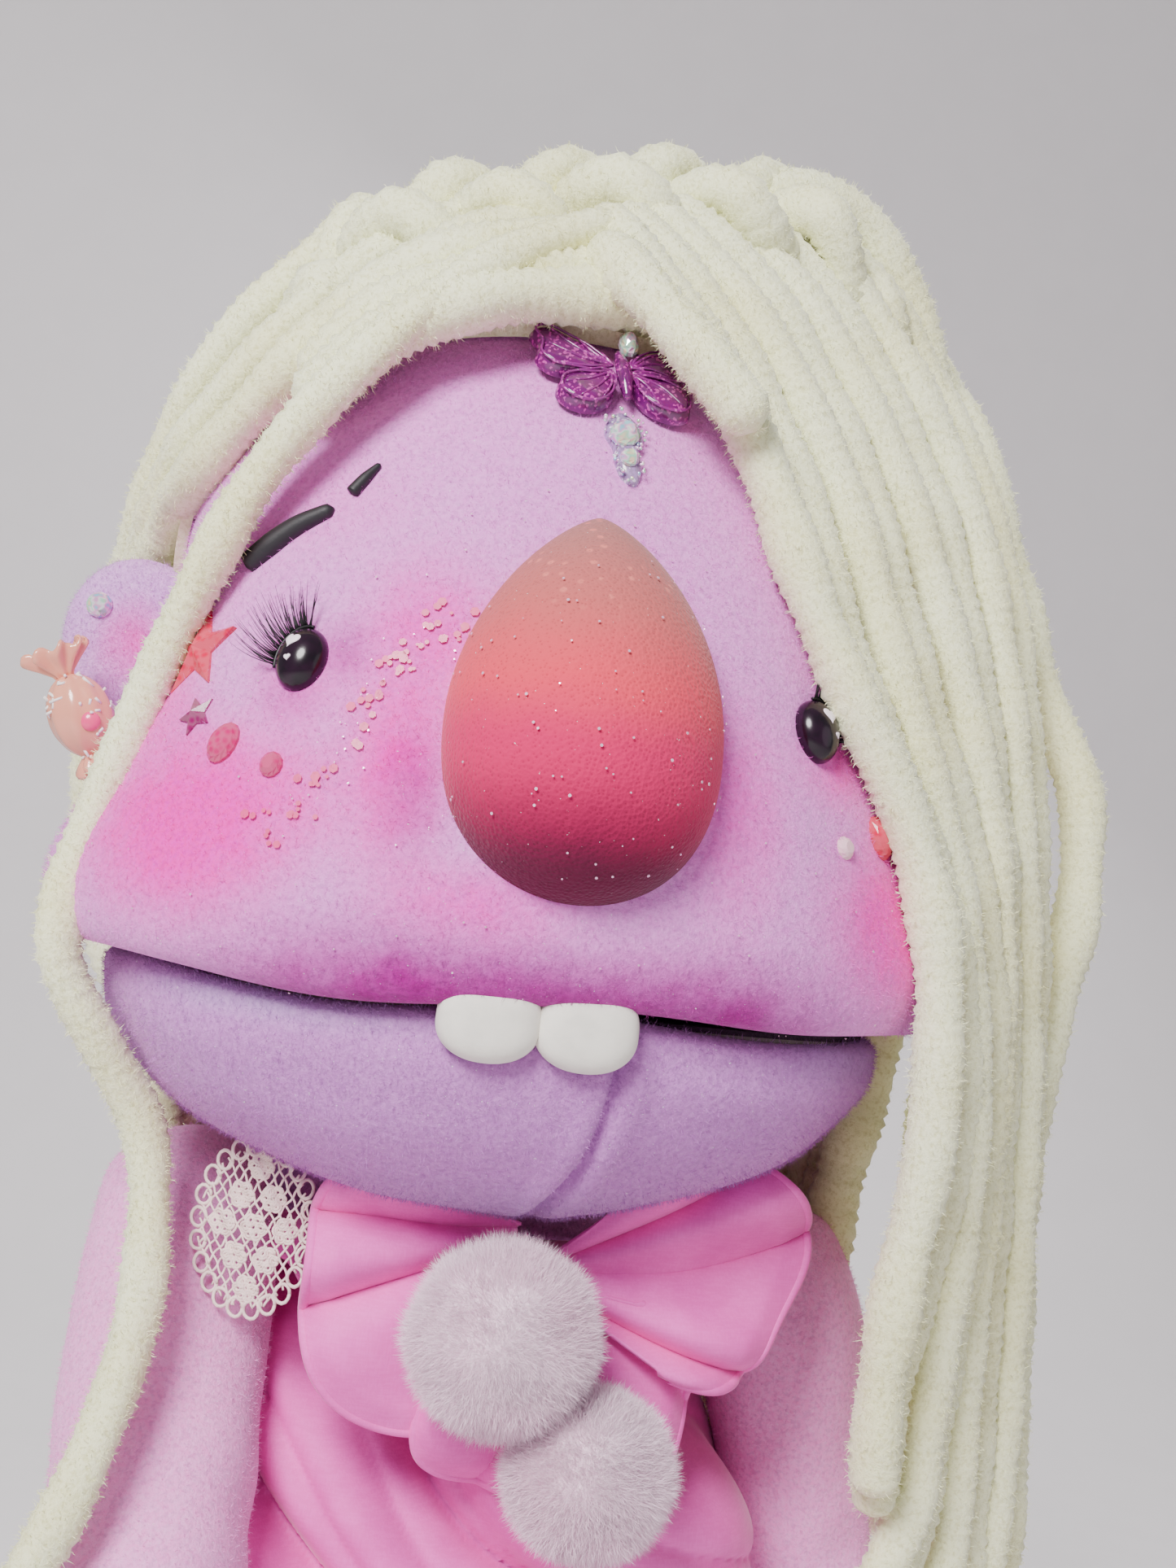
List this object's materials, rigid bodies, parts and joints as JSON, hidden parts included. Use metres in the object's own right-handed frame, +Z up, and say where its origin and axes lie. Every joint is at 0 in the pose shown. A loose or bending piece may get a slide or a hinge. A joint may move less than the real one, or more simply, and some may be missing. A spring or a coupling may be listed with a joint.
{
  "type": "moving mouth hand puppet",
  "caption": "Soft hand puppet head on a dressed body, with a hinged mouth worked by the hand, a sponge nose, chenille wig, ruff collar and stuffed arms.",
  "frame": {"origin": "centre of the round arm opening, at the puppet's bottom hem", "axes": "+Z up through the body to the top of the head, the face looks along -Y, +X is the viewer's right"},
  "size_m": [0.2078, 0.1772, 0.409],
  "materials": {
    "head_fleece": "fuzzy lilac fleece with fine sparkle",
    "jaw_fleece": "fuzzy purple-grey fleece",
    "pale_fleece": "fuzzy pale pink fleece",
    "foam": "soft open-cell foam",
    "mouth_felt": "thin felt lining",
    "mouth_board": "stiff board",
    "elastic": "woven elastic",
    "sponge": "fine-pored sponge, tan at the tip to plum at the base",
    "black_clay": "glossy black clay",
    "matte_clay": "matte black clay",
    "lash_fibre": "fine black fibre",
    "white_clay": "matte white clay",
    "butterfly_resin": "translucent glitter resin",
    "silver_resin": "silver glitter resin",
    "coral_resin": "translucent coral resin",
    "crystal": "faceted crystal",
    "peach_resin": "glossy peach resin",
    "yarn": "ivory chenille yarn",
    "wig_base": "stretch cap fabric",
    "pink_cotton": "soft pink woven cotton",
    "lace": "cream openwork lace",
    "pompom_yarn": "fuzzy pale pink pile",
    "cuff_band": "ribbed elastic band",
    "lining_cotton": "plain cotton lining"
  },
  "bodies": {
    "torso": {"arm_opening_cuff": "cuff_band", "body_lining": "lining_cotton", "chest_foam": "foam", "dress_bodice": "pink_cotton", "dress_skirt": "pink_cotton", "ruff_collar": "pink_cotton", "ruff_lobe_left": "pink_cotton", "ruff_lobe_right": "pink_cotton", "lace_collar": "lace", "pompom_upper": "pompom_yarn", "pompom_lower": "pompom_yarn"},
    "neck": {"neck_sleeve": "pale_fleece", "neck_foam_ring": "foam"},
    "head": {"head_skin": "head_fleece", "head_foam": "foam", "upper_mouth_lining": "mouth_felt", "upper_mouth_plate": "mouth_board", "finger_strap": "elastic", "nose_sponge": "sponge", "eye_left": "black_clay", "eye_right": "black_clay", "lashes_left": "lash_fibre", "lashes_right": "lash_fibre", "eyebrow_left": "matte_clay", "eyebrow_right": "matte_clay", "tooth_left": "white_clay", "tooth_right": "white_clay", "forehead_drop": "silver_resin", "forehead_crystals": "crystal", "butterfly_charm": "butterfly_resin", "cheek_gems_left": "crystal", "cheek_gems_right": "coral_resin", "temple_star_left": "coral_resin", "ear_left": "head_fleece", "ear_right": "head_fleece", "ear_charm_left": "peach_resin", "ear_charm_right": "peach_resin", "ear_gems": "crystal", "wig_cap": "wig_base", "hair_braid_crown": "yarn", "hair_right_side": "yarn", "hair_right_front": "yarn", "hair_back": "yarn", "hair_left_side": "yarn", "hair_left_front": "yarn", "hair_fringe": "yarn"},
    "jaw": {"jaw_skin": "jaw_fleece", "jaw_foam": "foam", "lower_mouth_lining": "mouth_felt", "lower_mouth_plate": "mouth_board", "thumb_strap": "elastic", "mouth_hinge_roll": "mouth_felt"},
    "upper_arm_left": {"upper_arm_left": "pale_fleece"},
    "forearm_left": {"forearm_left": "pale_fleece", "hand_left": "pale_fleece"},
    "upper_arm_right": {"upper_arm_right": "pale_fleece"},
    "forearm_right": {"forearm_right": "pale_fleece", "hand_right": "pale_fleece"}
  },
  "joints": [
    {"name": "head_nod", "type": "hinge", "parent": "torso", "child": "neck", "pos_m": [0, 0.014, 0.198], "axis": [-1, 0, 0], "range_deg": [-10, 10]},
    {"name": "head_turn", "type": "hinge", "parent": "neck", "child": "head", "pos_m": [0, 0.014, 0.247], "axis": [0, 0, 1], "range_deg": [-25, 25], "deforming": ["hair_right_side", "hair_right_front", "hair_back", "hair_left_side", "hair_left_front"]},
    {"name": "jaw_open", "type": "hinge", "parent": "head", "child": "jaw", "pos_m": [0, -0.03, 0.2485], "axis": [1, 0, 0], "range_deg": [0, 30], "stiffness_Nm_per_rad": 0.06, "springref_deg": -22.92, "deforming": ["ruff_lobe_left", "ruff_lobe_right", "pompom_upper", "ruff_collar", "lace_collar"]},
    {"name": "shoulder_left", "type": "hinge", "parent": "torso", "child": "upper_arm_left", "pos_m": [-0.058, 0, 0.207], "axis": [-1, 0, 0], "range_deg": [0, 40]},
    {"name": "elbow_left", "type": "hinge", "parent": "upper_arm_left", "child": "forearm_left", "pos_m": [-0.048, -0.057, 0.14], "axis": [-1, 0, 0], "range_deg": [0, 45]},
    {"name": "shoulder_right", "type": "hinge", "parent": "torso", "child": "upper_arm_right", "pos_m": [0.06, 0, 0.207], "axis": [-1, 0, 0], "range_deg": [-20, 60]},
    {"name": "elbow_right", "type": "hinge", "parent": "upper_arm_right", "child": "forearm_right", "pos_m": [0.0755, 0, 0.14], "axis": [-1, 0, 0], "range_deg": [0, 45]}
  ]
}
